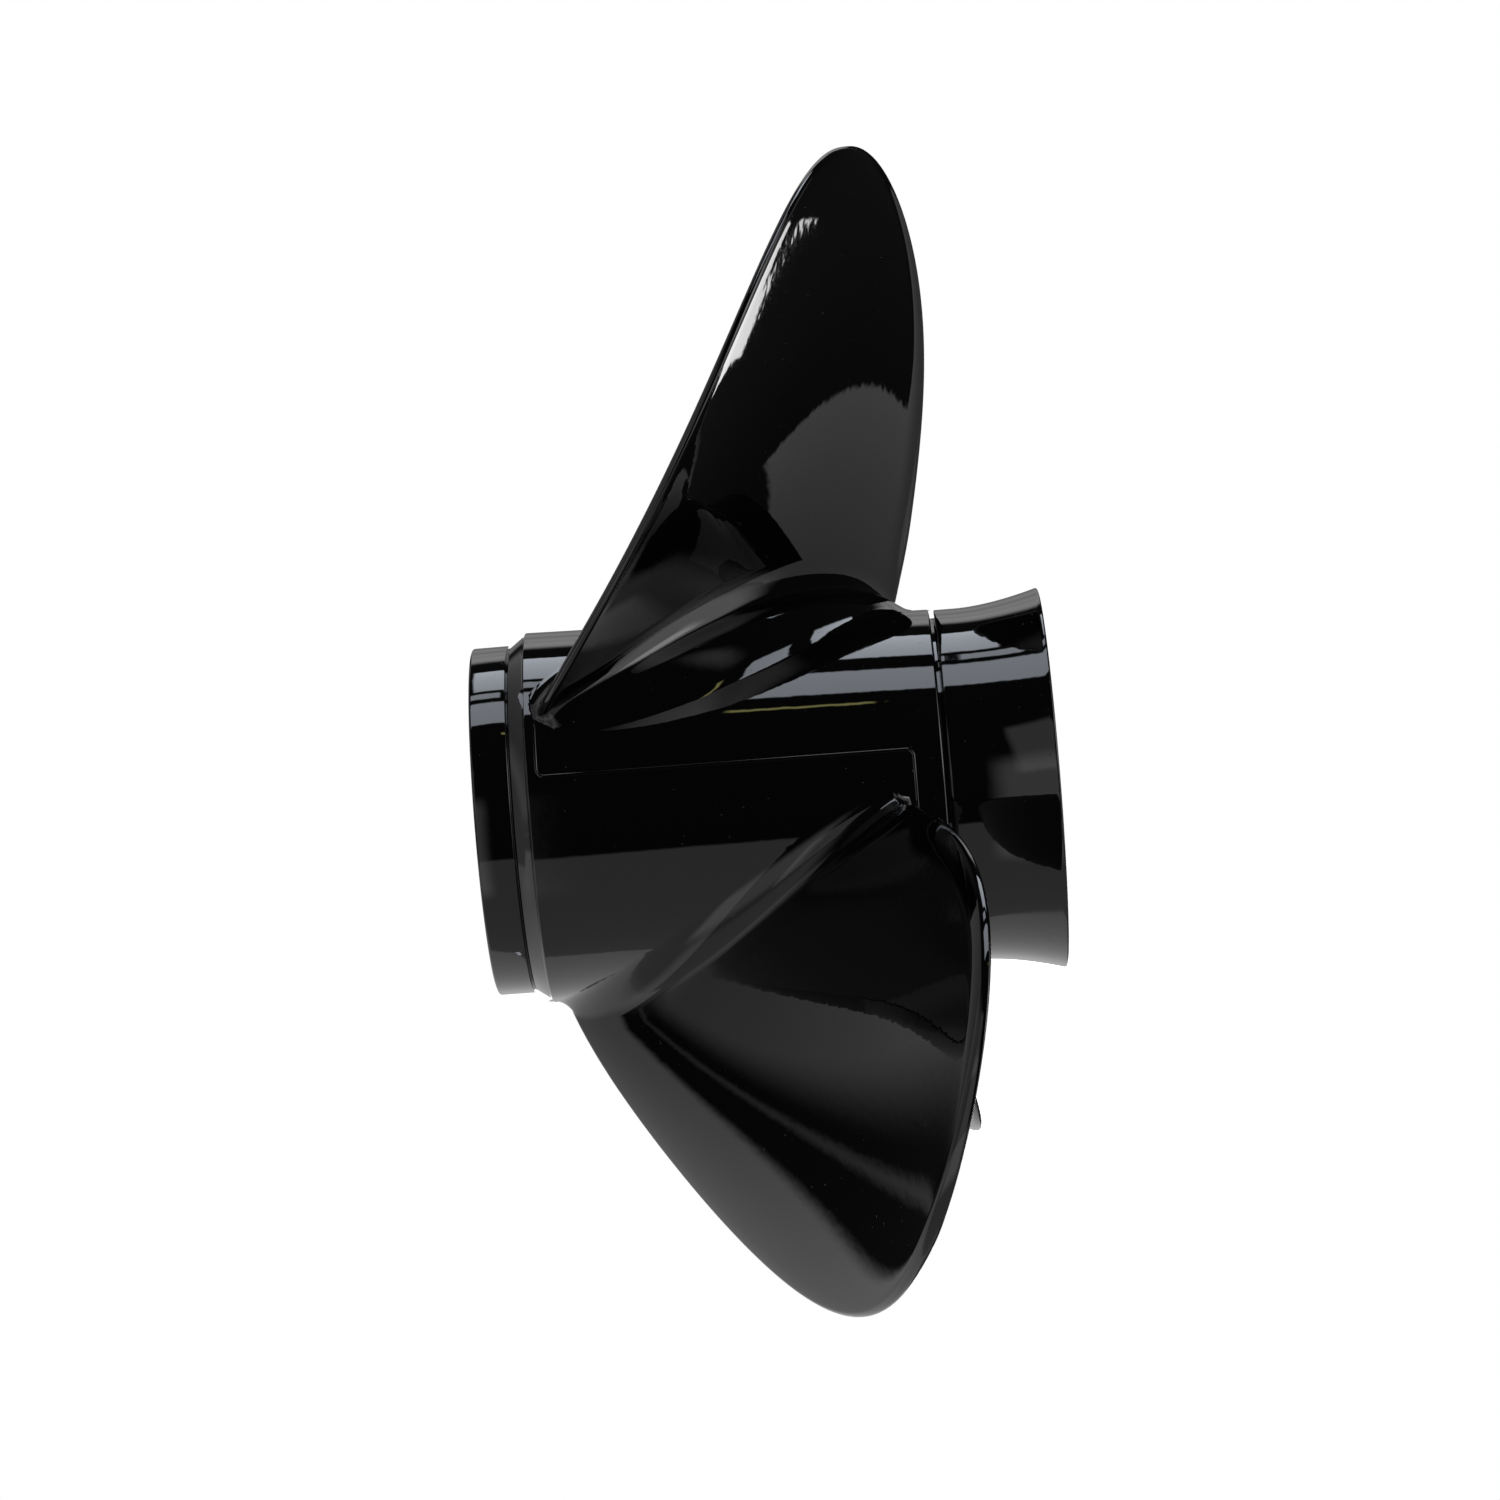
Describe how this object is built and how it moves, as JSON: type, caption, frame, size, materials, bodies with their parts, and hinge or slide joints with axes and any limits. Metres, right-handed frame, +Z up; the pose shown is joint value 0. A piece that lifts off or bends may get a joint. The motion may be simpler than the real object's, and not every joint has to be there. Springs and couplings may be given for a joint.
{
  "type": "boat propeller",
  "caption": "Left-hand outboard boat propeller with broad raked blades, a through-hub exhaust barrel, a flared diffuser ring and a rubber-cushioned splined hub.",
  "frame": {"origin": "on the shaft axis, in the plane of the barrel's forward rim", "axes": "+X aft along the shaft axis, +Z up through the tip of blade_1, +Y across; the boat moves towards -X"},
  "size_m": [0.1628, 0.3365, 0.3111],
  "materials": {
    "casting_paint": "gloss",
    "ring_paint": "gloss",
    "cushion_rubber": "matte",
    "bush_bronze": "satin",
    "thrust_bronze": "satin",
    "stainless": "satin",
    "nut_stainless": "satin",
    "nylon": "matte"
  },
  "bodies": {
    "hub": {"splined_bush": "bush_bronze", "rubber_cushion": "cushion_rubber"},
    "propeller": {"outer_barrel": "casting_paint", "inner_hub": "casting_paint", "rib_1": "casting_paint", "rib_2": "casting_paint", "rib_3": "casting_paint", "blade_1": "casting_paint", "blade_2": "casting_paint", "blade_3": "casting_paint", "diffuser_ring": "ring_paint"},
    "thrust_washer": {"thrust_washer": "thrust_bronze"},
    "aft_washers": {"drive_washer": "stainless", "flat_washer": "stainless"},
    "nut": {"prop_nut": "nut_stainless", "nylon_insert": "nylon"}
  },
  "joints": [
    {"name": "hub_twist", "type": "hinge", "parent": "hub", "child": "propeller", "pos_m": [0, 0, 0], "axis": [1, 0, 0], "range_deg": [-6, 6], "stiffness_Nm_per_rad": 3000},
    {"name": "washer_slide", "type": "slide", "parent": "hub", "child": "aft_washers", "axis": [1, 0, 0], "range_m": [0, 0.018]},
    {"name": "nut_turn", "type": "hinge", "parent": "aft_washers", "child": "nut", "pos_m": [0, 0, 0], "axis": [1, 0, 0], "range_deg": [0, 4090]},
    {"name": "thrust_washer_slide", "type": "slide", "parent": "hub", "child": "thrust_washer", "axis": [-1, 0, 0], "range_m": [0, 0.03]}
  ],
  "couplings": [
    {"joint": "nut_turn", "follows": "washer_slide", "rad_per_m": 3957.9}
  ]
}
